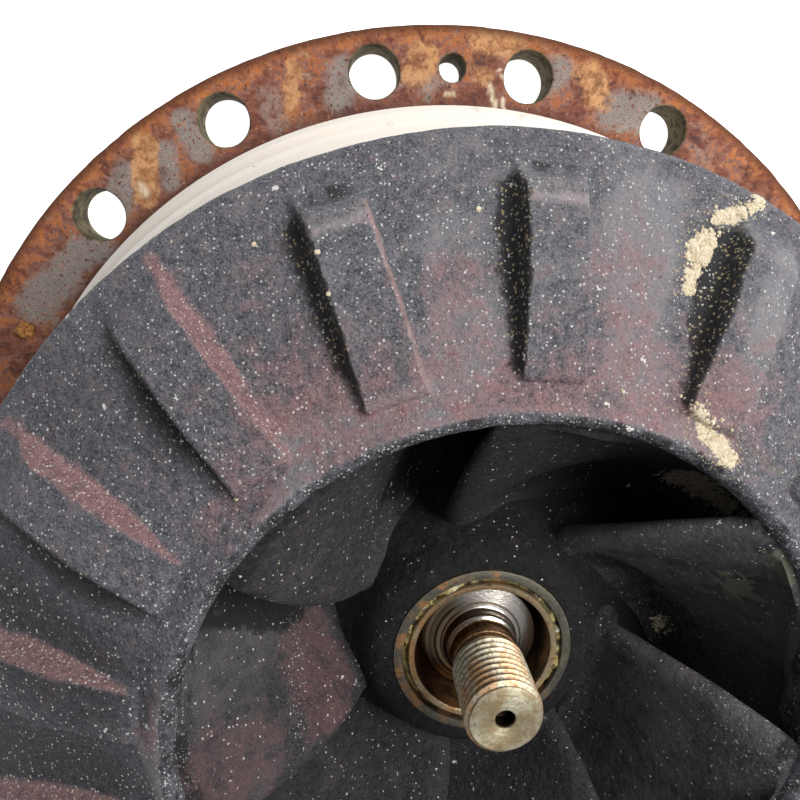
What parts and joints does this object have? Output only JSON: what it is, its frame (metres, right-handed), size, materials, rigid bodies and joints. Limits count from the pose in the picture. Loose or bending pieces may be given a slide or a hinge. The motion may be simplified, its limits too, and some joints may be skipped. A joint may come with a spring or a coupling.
{
  "type": "flotation machine impeller",
  "caption": "Rubber-covered closed impeller with twisted vanes and expelling ribs on a threaded shaft end, in front of a drilled mounting flange with a stepped spigot.",
  "frame": {"origin": "centre of the mounting flange's back face, on the shaft's axis", "axes": "+Z along the shaft from the flange to the impeller's eye, +Y towards the jacking hole between two bolt holes"},
  "size_m": [0.7, 0.7, 0.2405],
  "materials": {
    "rusty_steel": "orange-brown rust with grey and purple patches",
    "pale_spigot": "pale, turned, faint rings",
    "housing_iron": "plain casting",
    "black_rubber": "worn, rough, with white specks",
    "bright_shaft": "turned, greased",
    "stained_ring": "rust-stained, greasy"
  },
  "bodies": {
    "stator": {"mounting_flange": "rusty_steel", "stepped_spigot": "pale_spigot", "seal_housing": "housing_iron"},
    "rotor": {"drive_shaft": "bright_shaft", "hub_sleeve": "stained_ring", "hub_ring": "stained_ring", "hub_cover": "black_rubber", "back_shroud": "black_rubber", "front_shroud": "black_rubber", "vane_1": "black_rubber", "vane_2": "black_rubber", "vane_3": "black_rubber", "vane_4": "black_rubber", "vane_5": "black_rubber", "vane_6": "black_rubber", "vane_7": "black_rubber", "rib_01": "black_rubber", "rib_02": "black_rubber", "rib_03": "black_rubber", "rib_04": "black_rubber", "rib_05": "black_rubber", "rib_06": "black_rubber", "rib_07": "black_rubber", "rib_08": "black_rubber", "rib_09": "black_rubber", "rib_10": "black_rubber", "rib_11": "black_rubber", "rib_12": "black_rubber", "rib_13": "black_rubber", "rib_14": "black_rubber", "rib_15": "black_rubber", "rib_16": "black_rubber"}
  },
  "joints": [
    {"name": "rotor_spin", "type": "hinge", "parent": "stator", "child": "rotor", "pos_m": [0, 0, 0.1], "axis": [0, 0, 1], "continuous": true}
  ]
}
